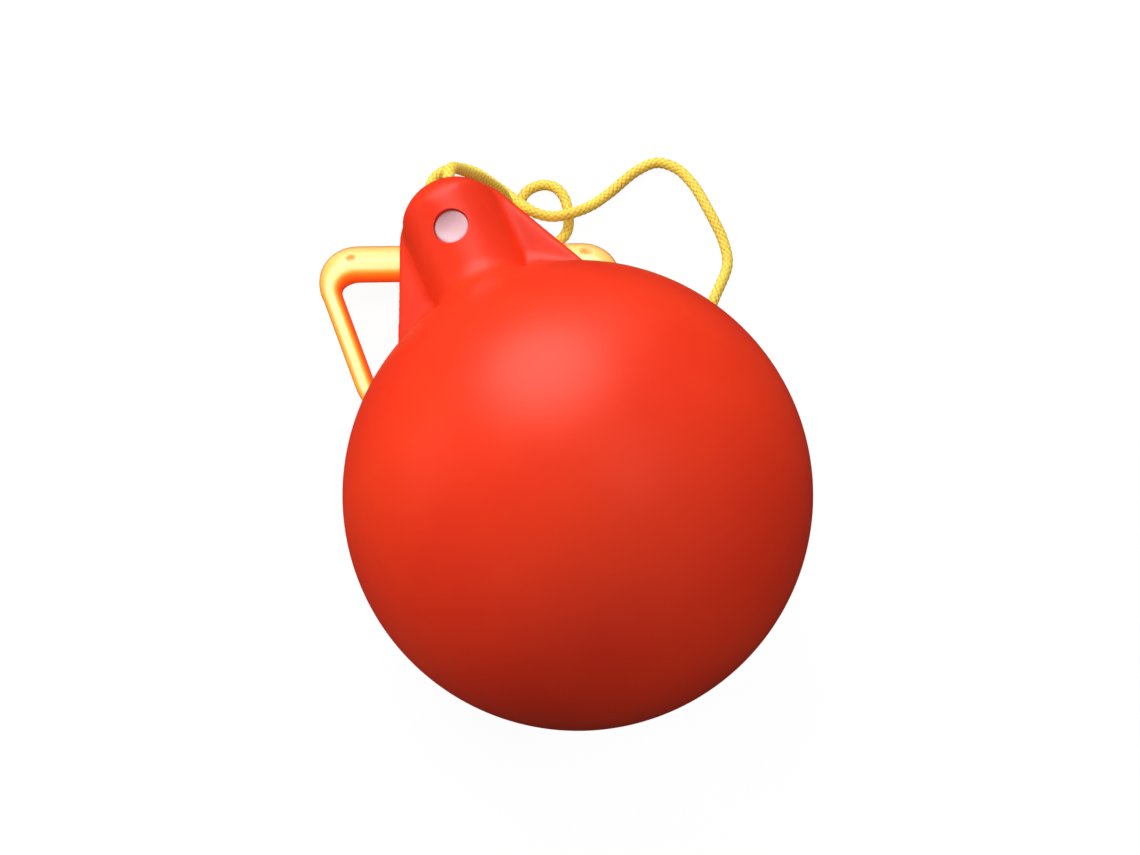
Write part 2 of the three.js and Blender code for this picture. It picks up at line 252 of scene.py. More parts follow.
def off_skin(at):
    """The column's fillet runs out down its sides, and the webs' fillet at their edges."""
    off_ball = at.length - ball_radius
    rise = (abs(at.z) - web_thickness / 2) / (lug_radius - web_thickness / 2)
    column_fillet = root_fillet * min(1, max(least_fillet, rise))
    web_fillet = root_fillet * min(1, max(least_fillet, -off_flank(at) / fillet_fade))
    return min(
        filleted(off_ball, off_column(at), column_fillet),
        filleted(off_ball, off_web(at), web_fillet),
    )


skin_bm = bmesh.new()
skin_bm.from_mesh(ball.data)
small_step = 0.01 * mm
small_steps = [axis * small_step for axis in Matrix.Identity(3)]
for vert in skin_bm.verts:
    reach = vert.co.length
    away = min(off_column(vert.co), off_web(vert.co)) if vert.co.y > 0 else ball_radius
    if away > 0 and reach < ball_radius + skin_pitch:
        vert.co *= ball_radius / reach
    if abs(away) < root_fillet and abs(reach - ball_radius) < root_fillet:
        for _ in range(fillet_passes):
            off = off_skin(vert.co)
            slope = Vector([(off_skin(vert.co + step) - off) / small_step for step in small_steps])
            vert.co -= slope * off / slope.length_squared
lug_verts = [v for v in skin_bm.verts if v.co.length > ball_radius + 2 * skin_pitch]
for _ in range(smoothing_passes):
    bmesh.ops.smooth_vert(
        skin_bm,
        verts=lug_verts,
        factor=lug_smoothing,
        use_axis_x=True,
        use_axis_y=True,
        use_axis_z=True,
    )
skin_bm.to_mesh(ball.data)
skin_bm.free()

mouth = lug_end_reach + lug_radius + overrun - pin_reach
slot_outline = [(slot_mouth / 2, slot_flare), (slot_mouth / 2, mouth)]
slot_outline += [(-slot_mouth / 2, mouth), (-slot_mouth / 2, slot_flare)]
slot_outline += arc((0, 0), slot_pocket, 180, 360, 40)
slot_bm = outlined_plate(slot_outline, slot_height, 0, 0)
bmesh.ops.translate(slot_bm, verts=slot_bm.verts[:], vec=(0, pin_reach, 0))
combined(ball, piece("slot_cutter", slot_bm), "DIFFERENCE")

hole_bm = round_rod(
    pin_hole_radius,
    2 * (lug_radius + overrun),
    Matrix.Translation((0, pin_reach, 0)),
    hole_sides,
)
combined(ball, piece("pin_hole_cutter", hole_bm), "DIFFERENCE")

vent_place = Matrix.Rotation(math.pi / 2 + vent_tilt, 4, "X")
seat_middle = ball_radius - vent_seat_depth + overrun / 2
seat_bm = round_rod(
    vent_seat_radius,
    overrun,
    vent_place @ Matrix.Translation((0, 0, seat_middle)),
    hole_sides,
)
combined(ball, piece("vent_seat_cutter", seat_bm), "DIFFERENCE")
ball.data.transform(head_place)
for vert in ball.data.vertices:
    vert.co.z = max(vert.co.z, 0)
for face in ball.data.polygons:
    face.use_smooth = True
ball.data.set_sharp_from_angle(angle=skin_sharp_angle)

# Soft PVC, rotation moulded: a satin skin with a faint bloom, very fine orange peel, and a low ridge where
# the mould's halves met round the ball's middle.
patch_width = 45.45 * mm
peel_grain = 1.111 * mm
seam_half_width = 0.45 * mm
seam_height = 0.15 * mm
red_pvc = new_material("soft_pvc_moulded_red")
place = add_node(red_pvc, "ShaderNodeTexCoord")
cloud = add_node(
    red_pvc,
    "ShaderNodeTexNoise",
    inputs={"Vector": place.outputs["Object"], "Scale": 1 / patch_width, "Detail": 3},
)
skin_colour = add_node(red_pvc, "ShaderNodeValToRGB", inputs={"Fac": cloud.outputs["Fac"]})
skin_colour.color_ramp.elements[0].position = 0.3
skin_colour.color_ramp.elements[0].color = linear("df2e12")
skin_colour.color_ramp.elements[1].position = 0.75
skin_colour.color_ramp.elements[1].color = linear("e73714")
bloom = add_node(
    red_pvc,
    "ShaderNodeMapRange",
    inputs={"Value": cloud.outputs["Fac"], "To Min": 0.35, "To Max": 0.43},
)
peel = add_node(
    red_pvc,
    "ShaderNodeTexNoise",
    inputs={"Vector": place.outputs["Object"], "Scale": 1 / peel_grain, "Detail": 2},
)
height = add_node(
    red_pvc,
    "ShaderNodeVectorMath",
    {"operation": "DOT_PRODUCT"},
    {0: place.outputs["Object"], 1: head_up},
)
seam_away = add_node(
    red_pvc,
    "ShaderNodeMath",
    {"operation": "SUBTRACT"},
    {0: height.outputs["Value"], 1: ball_centre.dot(head_up)},
)
seam_away = add_node(red_pvc, "ShaderNodeMath", {"operation": "ABSOLUTE"}, {0: seam_away.outputs[0]})
seam = add_node(
    red_pvc,
    "ShaderNodeMapRange",
    {"interpolation_type": "SMOOTHSTEP"},
    {
        "Value": seam_away.outputs[0],
        "From Min": 0,
        "From Max": seam_half_width,
        "To Min": 1,
        "To Max": 0,
    },
)
seam_bump = add_node(
    red_pvc,
    "ShaderNodeBump",
    inputs={"Height": seam.outputs["Result"], "Strength": 0.7, "Distance": seam_height},
)
peel_bump = add_node(
    red_pvc,
    "ShaderNodeBump",
    inputs={
        "Height": peel.outputs["Fac"],
        "Strength": 0.12,
        "Distance": 0.1 * mm,
        "Normal": seam_bump.outputs["Normal"],
    },
)
skin_shader = add_node(
    red_pvc,
    "ShaderNodeBsdfPrincipled",
    inputs={
        "Base Color": skin_colour.outputs["Color"],
        "Roughness": bloom.outputs["Result"],
        "IOR": 1.53,
        "Specular IOR Level": 0.32,
        "Subsurface Weight": 0.05,
        "Subsurface Scale": 2 * mm,
        "Normal": peel_bump.outputs["Normal"],
    },
)
add_node(red_pvc, "ShaderNodeOutputMaterial", inputs={"Surface": skin_shader.outputs["BSDF"]})
ball.data.materials.clear()
ball.data.materials.append(red_pvc)
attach(ball, "head")
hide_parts("ball_shell")

# The vent plug: a turned PVC stopper pressed into the hole that the ball was moulded through. Its head lies
# in a seat a little below the skin.

plug_head_radius = 6 * mm
plug_stem_radius = 3.7 * mm
plug_inset = 0.25 * mm
plug_gap = 0.3 * mm
plug_length = 5 * mm
plug_edge = 0.3 * mm
plug_crown = [(0.6, 0.08 * mm), (0.3, 0.02 * mm), (0, 0)]
plug_sharp_angle = math.radians(40)
turned_sides = 96


def turned(profile, matrix):
    bm = bmesh.new()
    points = [bm.verts.new((r, 0, z)) for r, z in profile]
    edges = [bm.edges.new(pair) for pair in zip(points, points[1:])]
    bmesh.ops.spin(
        bm,
        geom=points + edges,
        cent=(0, 0, 0),
        axis=(0, 0, 1),
        angle=2 * math.pi,
        steps=turned_sides,
        use_merge=True,
    )
    bmesh.ops.remove_doubles(bm, verts=bm.verts[:], dist=1e-7)
    bmesh.ops.recalc_face_normals(bm, faces=bm.faces[:])
    bmesh.ops.transform(bm, matrix=matrix, verts=bm.verts[:])
    return bm


head_base = ball_radius - vent_seat_depth + plug_gap
head_rim = math.sqrt(ball_radius**2 - plug_head_radius**2) - plug_inset
crown = ball_radius - plug_inset
plug_profile = [
    (0, head_base - plug_length),
    (plug_stem_radius, head_base - plug_length),
    (plug_stem_radius, head_base),
    (plug_head_radius, head_base),
    (plug_head_radius, head_rim - plug_edge),
    (plug_head_radius - plug_edge, head_rim),
]
plug_profile += [(plug_head_radius * share, crown - drop) for share, drop in plug_crown]
plug = piece("vent_stopper", turned(plug_profile, head_place @ vent_place))
plug.data.set_sharp_from_angle(angle=plug_sharp_angle)
plug.data.materials.append(red_pvc)
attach(plug, "head")
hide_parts("vent_plug")

# The cross pin: a moulded nylon peg through the lug, which carries the rope's eye. Its ends are dished and
# lie a little below the rim of their hole.

pin_radius = 6.2 * mm
pin_half = 17 * mm
pin_chamfer = 0.6 * mm
pin_dish = 0.9 * mm
pin_lip = pin_radius - 1.6 * pin_chamfer
chamfer_bulge = 0.3 * pin_chamfer
pin_sharp_angle = math.radians(50)


def pin_end(side):
    """One end from its middle outwards: the dish, then the rounded chamfer."""
    dish = [(pin_lip * s / 5, side * (pin_half - pin_dish * (1 - (s / 5) ** 2))) for s in range(6)]
    return dish + [
        (pin_radius - pin_chamfer, side * pin_half),
        (pin_radius - chamfer_bulge, side * (pin_half - chamfer_bulge)),
        (pin_radius, side * (pin_half - pin_chamfer)),
    ]


pin_profile = pin_end(-1) + pin_end(1)[::-1]
pin = piece("lug_pin", turned(pin_profile, pin_place))
pin.data.set_sharp_from_angle(angle=pin_sharp_angle)

# Nylon, injection moulded: milky white and slightly see-through, which gives it a soft, waxy look. Its colour
# is painted a darker pinkish
# grey: painted red reflection from the lug and painted shade.
milk_grain = 3.846 * mm
nylon = new_material("nylon_moulded_white")
place = add_node(nylon, "ShaderNodeTexCoord")
cloud = add_node(
    nylon,
    "ShaderNodeTexNoise",
    inputs={"Vector": place.outputs["Object"], "Scale": 1 / milk_grain, "Detail": 3},
)
# Pinkish grey: the milky white darkened as painted shade and tinted as painted red reflection of the lug.
milky_white_and_painted_red = add_node(nylon, "ShaderNodeValToRGB", inputs={"Fac": cloud.outputs["Fac"]})
milky_white_and_painted_red.color_ramp.elements[0].color = linear("cba5ac")
milky_white_and_painted_red.color_ramp.elements[1].color = linear("d7b5bb")
grain = add_node(
    nylon,
    "ShaderNodeBump",
    inputs={"Height": cloud.outputs["Fac"], "Strength": 0.15, "Distance": 0.1 * mm},
)
waxy = add_node(
    nylon,
    "ShaderNodeBsdfPrincipled",
    inputs={
        "Base Color": milky_white_and_painted_red.outputs["Color"],
        "Roughness": 0.38,
        "IOR": 1.53,
        "Subsurface Weight": 0.35,
        "Subsurface Radius": (1, 0.8, 0.8),
        "Subsurface Scale": 1.5 * mm,
        "Normal": grain.outputs["Normal"],
    },
)
add_node(nylon, "ShaderNodeOutputMaterial", inputs={"Surface": waxy.outputs["BSDF"]})
pin.data.materials.append(nylon)
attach(pin, "head")
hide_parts("cross_pin")

# The rope's free length: a 4.4 mm cord of twelve plaited polypropylene yarns. It leaves the lug's slot, drops
# to the floor, and lies in a small loop and a wide curve before it goes round under the ball to the handle.

rope_radius = 2.2 * mm
rope_sides = 30
rope_step = 0.45 * mm
plaits = 6
plait_length = 2.5 * mm
plait_relief = 0.26 * mm
yarn_roundness = 0.7
crossing_dip = 0.55
crossing_roundness = 0.8
seat_gap = 0.3 * mm
throat_end = 19 * mm
eye_swing = math.radians(12)
grip_radius = 7.2 * mm
waist_radius = 2.5 * mm
loop_radius = waist_radius + seat_gap + rope_radius
knot_reach = 8 * mm
knot_lead = 9 * mm
knot_y = -(loop_radius + knot_reach)
handle_offset = Vector((-41.2 * mm, 46 * mm, grip_radius))
handle_turn = math.radians(0.9)

handle_place = Matrix.Translation(ball_centre - Vector((0, 0, stand_height)) + handle_offset)
handle_place = handle_place @ Matrix.Rotation(handle_turn, 4, "Z")
eye_place = pin_place @ Matrix.Rotation(-eye_swing, 4, "Z")
floor_below = Vector((ball_centre.x, ball_centre.y, 0))

rope_way_mm = [
    (-46.2, 117, 80.1),
    (-46.1, 120.1, 78.7),
    (-45.4, 122.7, 76),
    (-44.1, 124.3, 72.3),
    (-42, 126.2, 66),
    (-37.4, 128.6, 55.5),
    (-32.8, 130.1, 44.5),
    (-28.5, 131.3, 32),
    (-26.2, 131.1, 18),
    (-25.7, 130.9, 11.5),
    (-25.5, 131.6, 7.9),
    (-25, 133.5, 5),
    (-24.2, 136.3, 3),
    (-23, 140, 2.3),
    (-20.2, 144.6, 2.3),
    (-16.8, 146.8, 2.3),
    (-12.2, 147.7, 2.3),
    (-8.1, 146.2, 2.3),
    (-5.1, 142.5, 2.3),
    (-3.6, 137.4, 2.3),
    (-3.2, 130.9, 2.3),
    (-3.9, 127.5, 2.3),
    (-5.9, 124.5, 2.3),
    (-9, 122.5, 2.3),
    (-12.6, 121.9, 2.3),
    (-24, 122, 2.3),
    (-40, 124.2, 2.3),
    (-51, 130, 2.3),
    (-57.4, 138.2, 2.3),
    (-59.2, 146, 2.3),
    (-56.6, 151.6, 2.3),
    (-51, 154.8, 2.3),
    (-46, 154.8, 2.6),
    (-40.6, 152.4, 4),
    (-32, 145, 7.3),
    (-25.9, 139.6, 8.8),
    (-21.3, 135.9, 9),
    (-15.5, 132.5, 9),
    (-9, 131.4, 8.8),
    (-1.4, 133.4, 7.8),
    (6.2, 138, 4.6),
    (13.4, 144.2, 2.5),
    (24.3, 153.8, 2.3),
    (32.6, 157.4, 2.3),
    (40.2, 155, 2.3),
    (46.6, 148.4, 2.3),
    (52.8, 137, 2.3),
    (58.6, 123.4, 2.3),
    (60, 113.6, 2.3),
    (54.4, 98.8, 2.3),
    (48.6, 83, 2.3),
    (47.4, 64, 2.3),
    (54, 38, 2.3),
    (56.6, 12, 2.3),
    (46, -17, 2.3),
    (21, -39, 2.3),
    (-10, -43.4, 2.3),
    (-33.7, -25, 2.3),
    (-40.7, -2, 2.3),
]


def smooth_way(points, step):
    """A curve through the points, as points a step apart."""
    ends = [2 * points[0] - points[1]] + points + [2 * points[-1] - points[-2]]
    dense = []
    for i in range(1, len(ends) - 2):
        a, b, c, d = ends[i - 1 : i + 3]
        ta = max((b - a).length, 1e-6) ** 0.5
        tb = max((c - b).length, 1e-6) ** 0.5
        tc = max((d - c).length, 1e-6) ** 0.5
        lean_b = ((b - a) / ta - (c - a) / (ta + tb) + (c - b) / tb) * tb
        lean_c = ((c - b) / tb - (d - b) / (tb + tc) + (d - c) / tc) * tb
        parts = max(8, int((c - b).length / step * 4))
        for k in range(parts):
            t = k / parts
            dense.append(
                b * (2 * t**3 - 3 * t**2 + 1)
                + lean_b * (t**3 - 2 * t**2 + t)
                + c * (3 * t**2 - 2 * t**3)
                + lean_c * (t**3 - t**2)
            )
    dense.append(points[-1].copy())
    return even_way(dense, step)


def even_way(dense, step):
    """The same line with its points an even step apart."""
    travelled = [0]
    for a, b in zip(dense, dense[1:]):
        travelled.append(travelled[-1] + (b - a).length)
    count = max(4, round(travelled[-1] / step))
    way = []
    k = 0
    for i in range(count + 1):
        target = travelled[-1] * i / count
        while k < len(dense) - 2 and travelled[k + 1] < target:
            k += 1
        share = (target - travelled[k]) / max(travelled[k + 1] - travelled[k], 1e-9)
        way.append(dense[k].lerp(dense[k + 1], min(share, 1)))
    return way


def tube_along(name, way, sides, radii, closed=False):
    """A tube along the points; its vertices lie ring by ring."""
    curve = bpy.data.curves.new(name, "CURVE")
    curve.dimensions = "3D"
    curve.twist_mode = "MINIMUM"
    curve.bevel_mode = "ROUND"
    curve.bevel_depth = 1
    curve.bevel_resolution = (sides - 4) // 2
    spline = curve.splines.new("POLY")
    spline.points.add(len(way) - 1)
    for point, at, radius in zip(spline.points, way, radii):
        point.co = (*at, 1)
        point.radius = radius
    spline.use_cyclic_u = closed
    line = bpy.data.objects.new(name, curve)
    bpy.context.collection.objects.link(line)
    mesh = evaluated_mesh(line)
    bpy.data.objects.remove(line, do_unlink=True)
    assert len(mesh.vertices) == len(way) * sides, (name, len(mesh.vertices), len(way), sides)
    return mesh


def plaited(name, way, closed=False, thickness=None):
    """A rope along the points, its yarns raised over and under each other."""
    count = len(way)
    radii = thickness or [rope_radius] * count
    mesh = tube_along(name, way, rope_sides, radii, closed)
    step = (way[1] - way[0]).length
    turns = count * step / (plaits * plait_length)
    if closed:
        turns = round(turns)
    crest = mesh.attributes.new("crest", "FLOAT", "POINT")
    yarn = mesh.attributes.new("yarn", "FLOAT", "POINT")
    for i, at in enumerate(way):
        run = plaits * turns * i / count
        for k in range(rope_sides):
            vert = mesh.vertices[i * rope_sides + k]
            right = plaits * k / rope_sides + run
            left = plaits * k / rope_sides - run
            over = (math.floor(right) + math.floor(left)) % 2
            across, along = (right, left) if over else (left, right)
            rise = abs(math.sin(math.pi * along)) ** crossing_roundness
            hump = abs(math.sin(math.pi * across)) ** yarn_roundness
            hump *= 1 - crossing_dip * (1 - rise)
            vert.co = at + (vert.co - at) * (1 - plait_relief * (1 - hump) / rope_radius)
            crest.data[i * rope_sides + k].value = hump
            yarn.data[i * rope_sides + k].value = across
    bm = bmesh.new()
    bm.from_mesh(mesh)
    bpy.data.meshes.remove(mesh)
    if not closed:
        bmesh.ops.holes_fill(bm, edges=[e for e in bm.edges if e.is_boundary], sides=0)
    bmesh.ops.recalc_face_normals(bm, faces=bm.faces[:])
    return piece(name, bm)


leave = eye_place @ Vector((0, throat_end + seat_gap, 0))
leave_line = (eye_place.to_3x3() @ Vector((0, 1, 0))).normalized()
arrive = handle_place @ Vector((0, knot_y - knot_lead - seat_gap, rope_radius - grip_radius))
arrive_line = (handle_place.to_3x3() @ Vector((0, 1, 0))).normalized()
rope_points = [leave, leave + leave_line * rope_radius]
rope_points += [floor_below + Vector(p) * mm for p in rope_way_mm]
rope_points += [arrive - arrive_line * 4 * rope_radius, arrive]
rope_way = smooth_way(rope_points, rope_step)
free_rope = plaited("free_rope", rope_way)

# Polypropylene yarn, plaited: each yarn is a bundle of slick filaments, painted bright as a painted highlight
# where it crosses over and ochre as painted shade where it dips, with random blotches of wear. The filaments
# are drawn coarser than their 0.05 mm, as streaks along each yarn.
wear_length = 16.67 * mm
streaks_per_yarn = 9
yarn_plait = new_material("polypropylene_plaited_yellow")
crest_value = add_node(yarn_plait, "ShaderNodeAttribute", {"attribute_name": "crest"})
yarn_value = add_node(yarn_plait, "ShaderNodeAttribute", {"attribute_name": "yarn"})
place = add_node(yarn_plait, "ShaderNodeTexCoord")
blotch = add_node(
    yarn_plait,
    "ShaderNodeTexNoise",
    inputs={"Vector": place.outputs["Object"], "Scale": 1 / wear_length, "Detail": 2},
)
wear = add_node(
    yarn_plait,
    "ShaderNodeMapRange",
    inputs={"Value": blotch.outputs["Fac"], "To Min": -0.3, "To Max": 0.3},
)
# The crest height with random wear blotches added: the mask for the painted highlight and shade.
crest_shade_and_wear = add_node(
    yarn_plait,
    "ShaderNodeMath",
    {"operation": "ADD"},
    {0: crest_value.outputs["Fac"], 1: wear.outputs["Result"]},
)
streak = add_node(
    yarn_plait,
    "ShaderNodeTexNoise",
    {"noise_dimensions": "1D"},
    {"W": yarn_value.outputs["Fac"], "Scale": streaks_per_yarn, "Detail": 2},
)
# Ochre painted shade in the dips up to pale yellow painted highlight on the crossings.
yarn_colour_and_painted_shade = add_node(yarn_plait, "ShaderNodeValToRGB", inputs={"Fac": crest_shade_and_wear.outputs[0]})
yarn_colour_and_painted_shade.color_ramp.elements[0].position = 0.1
yarn_colour_and_painted_shade.color_ramp.elements[0].color = linear("d2981f")
yarn_colour_and_painted_shade.color_ramp.elements[1].position = 0.7
yarn_colour_and_painted_shade.color_ramp.elements[1].color = linear("f8dd58")
filaments = add_node(
    yarn_plait,
    "ShaderNodeBump",
    inputs={"Height": streak.outputs["Fac"], "Strength": 0.5, "Distance": 0.1 * mm},
)
yarn_shader = add_node(
    yarn_plait,
    "ShaderNodeBsdfPrincipled",
    inputs={
        "Base Color": yarn_colour_and_painted_shade.outputs["Color"],
        "Roughness": 0.5,
        "IOR": 1.49,
        "Sheen Weight": 0.2,
        "Sheen Tint": linear("ffe890"),
        "Subsurface Weight": 0.15,
        "Subsurface Radius": (1, 0.8, 0.3),
        "Subsurface Scale": 1 * mm,
        "Normal": filaments.outputs["Normal"],
    },
)
add_node(yarn_plait, "ShaderNodeOutputMaterial", inputs={"Surface": yarn_shader.outputs["BSDF"]})
free_rope.data.materials.append(yarn_plait)
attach(free_rope, "rope")
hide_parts("rope_free")

# The rope's eye: its end laid round the pin and spliced back into itself, in the lug's slot. The splice is a
# little thicker than the rope and tapers out.

eye_radius = pin_radius + rope_radius
eye_length = 16.5 * mm
throat_start = 13 * mm
throat_radius = 2.65 * mm
throat_taper = 2.5 * mm
eye_steps = 60

touch = math.degrees(math.asin(eye_radius / eye_length))
eye_turn = arc((0, 0), eye_radius, touch, -180 - touch, eye_steps)
eye_line = [(0, eye_length)] + eye_turn + [(0, eye_length)]
eye_points = [eye_place @ Vector((x, y, 0)) for x, y in eye_line]
eye = plaited("rope_eye_round_pin", even_way(eye_points, rope_step))
throat_points = [eye_place @ Vector((0, y, 0)) for y in (throat_start, throat_end)]
throat_way = even_way(throat_points, rope_step)


def splice_radius(share):
    along = share * (throat_end - throat_start)
    from_end = min(along, throat_end - throat_start - along)
    return rope_radius + (throat_radius - rope_radius) * min(1, from_end / throat_taper)


throat_radii = [splice_radius(i / (len(throat_way) - 1)) for i in range(len(throat_way))]
throat = plaited("rope_splice", throat_way, thickness=throat_radii)
for part in (eye, throat):
    part.data.materials.append(yarn_plait)
    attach(part, "rope")
    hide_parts("rope_eye")

# The loop and the knot at the handle: the rope goes round the foot's waist and is tied off in a tight knot.

knot_scale = 1.8 * mm
knot_floor = rope_radius + knot_scale - grip_radius
lead_floor = rope_radius - grip_radius
loop_steps = 70
knot_steps = 150

loop_line = []
for i in range(loop_steps):
    t = 2 * math.pi * i / loop_steps
    loop_line.append(Vector((0, loop_radius * math.cos(t), loop_radius * math.sin(t))))
knot_line = []
for i in range(knot_steps):
    t = 2 * math.pi * i / knot_steps
    reach = knot_scale * (2 + math.cos(3 * t))
    knot_line.append(
        Vector(
            (
                reach * math.cos(2 * t),
                reach * math.sin(2 * t) + knot_y,
                knot_scale * math.sin(3 * t) + knot_floor,
            )
        )
    )
neck_line = [Vector((0, y, knot_floor)) for y in (knot_y, knot_y + knot_reach)]
lead_line = [Vector((0, y, lead_floor)) for y in (knot_y - knot_lead, knot_y - knot_scale)]
for name, line, closed in (
    ("rope_loop_round_foot", loop_line, True),
    ("rope_knot", knot_line, True),
    ("rope_knot_neck", neck_line, False),
    ("rope_knot_lead", lead_line, False),
):
    placed = [handle_place @ p for p in line]
    part = plaited(name, placed if closed else even_way(placed, rope_step), closed)
    part.data.materials.append(yarn_plait)
    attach(part, "rope")
    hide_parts("rope_handle_loop")

# The handle: one injection moulding of clear yellow polycarbonate-like plastic, a thick grip bar with slim
# legs and a rounded foot whose waist keeps the rope in the middle.

handle_height = 66.3 * mm
grip_half_width = 54.4 * mm
grip_corner_radius = 10.3 * mm
grip_taper = 15.5 * mm
leg_slope = math.radians(20)
leg_radius = 3.85 * mm
foot_corner_radius = 26 * mm
corner_steps = 24
waist_half_length = 3.2 * mm
waist_taper = 4 * mm
handle_sides = 48
handle_step = 0.6 * mm
dimple_places = [(-46.3 * mm, 0, 1.1), (46.3 * mm, math.radians(14), 1.7)]
dimple_radius = 1.8 * mm
dimple_depth = 0.6 * mm
dimple_floor = 0.3
dimple_rim = 1.3
light_tilt = math.radians(20)

corner_share = 1 / math.tan(math.pi / 4 - leg_slope / 2) - 1
grip_corner = grip_half_width + grip_corner_radius * corner_share
foot_corner = grip_corner - handle_height * math.tan(leg_slope)
corners = [
    (Vector((-foot_corner, 0, 0)), foot_corner_radius),
    (Vector((-grip_corner, handle_height, 0)), grip_corner_radius),
    (Vector((grip_corner, handle_height, 0)), grip_corner_radius),
    (Vector((foot_corner, 0, 0)), foot_corner_radius),
]
ring_line = [Vector((0, 0, 0))]
for i, (at, radius) in enumerate(corners):
    back = (corners[i - 1][0] - at).normalized()
    onward = (corners[(i + 1) % 4][0] - at).normalized()
    half = back.angle(onward) / 2
    centre = at + (back + onward).normalized() * radius / math.sin(half)
    first = at + back * radius / math.tan(half) - centre
    for k in range(corner_steps + 1):
        turn = Matrix.Rotation(-(math.pi - 2 * half) * k / corner_steps, 3, "Z")
        ring_line.append(centre + turn @ first)
ring_line.append(Vector((0, 0, 0)))
ring_way = even_way(ring_line, handle_step)[:-1]


def ease(value, low, high):
    share = min(1, max(0, (value - low) / (high - low)))
    return share * share * (3 - 2 * share)


def grip_share(at):
    return ease(at.y, handle_height - grip_taper, handle_height + 1 * mm)


def bar_radius(at):
    waist = 0
    if at.y < waist_radius:
        waist = 1 - ease(abs(at.x), waist_half_length, waist_half_length + waist_taper)
    thicker = (grip_radius - leg_radius) * grip_share(at)
    return leg_radius + thicker - (leg_radius - waist_radius) * waist


bar_radii = [bar_radius(at) for at in ring_way]
handle_mesh = tube_along("handle_bar", ring_way, handle_sides, bar_radii, True)
# The inward value is how far each point of the bar's skin faces the ring's inner side, towards the ball, seen
# along a line tilted towards the lamp and camera; it is the mask for the painted light and shade below.
painted_light_axis = Vector((0, -math.sin(light_tilt), math.cos(light_tilt)))
for name in ("inward", "grip", "dimple"):
    handle_mesh.attributes.new(name, "FLOAT", "POINT")
inward = handle_mesh.attributes["inward"]
grip = handle_mesh.attributes["grip"]
dimple = handle_mesh.attributes["dimple"]
for i, at in enumerate(ring_way):
    along = ring_way[(i + 1) % len(ring_way)] - ring_way[i - 1]
    side = Vector((along.y, -along.x, 0)).normalized()
    side = (side - painted_light_axis * side.dot(painted_light_axis)).normalized()
    for k in range(i * handle_sides, (i + 1) * handle_sides):
        inward.data[k].value = (handle_mesh.vertices[k].co - at).normalized().dot(side)
        grip.data[k].value = grip_share(at)
for reach, tilt, stretch in dimple_places:
    up = Vector((0, math.sin(tilt), math.cos(tilt)))
    mark = Vector((reach, handle_height, 0)) + up * grip_radius
    for vert in handle_mesh.vertices:
        off = vert.co - mark
        away = Vector((off.x / stretch, off.y, off.z)).length / dimple_radius
        if away < dimple_rim:
            share = 1 - ease(away, dimple_floor, dimple_rim)
            dimple.data[vert.index].value = share
            vert.co -= up * dimple_depth * share
handle_bm = bmesh.new()
handle_bm.from_mesh(handle_mesh)
bpy.data.meshes.remove(handle_mesh)
bmesh.ops.recalc_face_normals(handle_bm, faces=handle_bm.faces[:])
bmesh.ops.transform(handle_bm, matrix=handle_place, verts=handle_bm.verts[:])
handle = piece("clear_handle", handle_bm)

# Clear plastic with a yellow tint, injection moulded, and its skin is glossy. Its colour across the bar is
# painted light: a pale painted highlight band where the bar faces the lamp, a thin orange rim at its outer
# edge, and painted red-orange reflection of the ball and painted shade on its inner side, which also glows a
# little.
flow_width = 16.67 * mm
factor_in, first_in, second_in, mixed_out = 0, 6, 7, 2
clear_yellow = new_material("clear_plastic_moulded_yellow")
place = add_node(clear_yellow, "ShaderNodeTexCoord")
flow = add_node(
    clear_yellow,
    "ShaderNodeTexNoise",
    inputs={"Vector": place.outputs["Object"], "Scale": 1 / flow_width, "Detail": 2},
)
flow_bump = add_node(
    clear_yellow,
    "ShaderNodeBump",
    inputs={"Height": flow.outputs["Fac"], "Strength": 0.2, "Distance": 0.3 * mm},
)
inward_value = add_node(clear_yellow, "ShaderNodeAttribute", {"attribute_name": "inward"})
# Across the bar from its outer edge to its inner side: the place in the painted light ramps below.
depth = add_node(
    clear_yellow,
    "ShaderNodeMapRange",
    inputs={"Value": inward_value.outputs["Fac"], "From Min": -1, "From Max": 1},
)


def painted_light_ramp(stops):
    ramp = add_node(clear_yellow, "ShaderNodeValToRGB", inputs={"Fac": depth.outputs["Result"]})
    while len(ramp.color_ramp.elements) < len(stops):
        ramp.color_ramp.elements.new(1)
    for stop, (at, colour) in zip(ramp.color_ramp.elements, stops):
        stop.position = at
        stop.color = linear(colour)
    return ramp


# The grip's painted light: orange outer rim, pale painted highlight band, then painted red-orange reflection
# of the ball and painted shade on the inner side.
grip_painted_light = painted_light_ramp(
    [
        (0, "cf7a36"),
        (0.05, "f2b868"),
        (0.12, "ffd27c"),
        (0.28, "ffd878"),
        (0.36, "fffbb4"),
        (0.6, "fff9ac"),
        (0.68, "ffc050"),
        (0.76, "ff7c18"),
        (0.9, "ff4c0e"),
        (1, "d83a12"),
    ]
)
# The legs' painted light, in the same order, with a wider orange outer band.
leg_painted_light = painted_light_ramp(
    [
        (0, "d8843a"),
        (0.06, "ffa030"),
        (0.18, "ffb83c"),
        (0.33, "ffe9a0"),
        (0.5, "fff4b4"),
        (0.63, "ffe08c"),
        (0.75, "ff9830"),
        (0.88, "ff5414"),
        (1, "d83a20"),
    ]
)
grip_value = add_node(clear_yellow, "ShaderNodeAttribute", {"attribute_name": "grip"})
bar_painted_light = add_node(
    clear_yellow,
    "ShaderNodeMix",
    {"data_type": "RGBA"},
    {
        factor_in: grip_value.outputs["Fac"],
        first_in: leg_painted_light.outputs["Color"],
        second_in: grip_painted_light.outputs["Color"],
    },
)
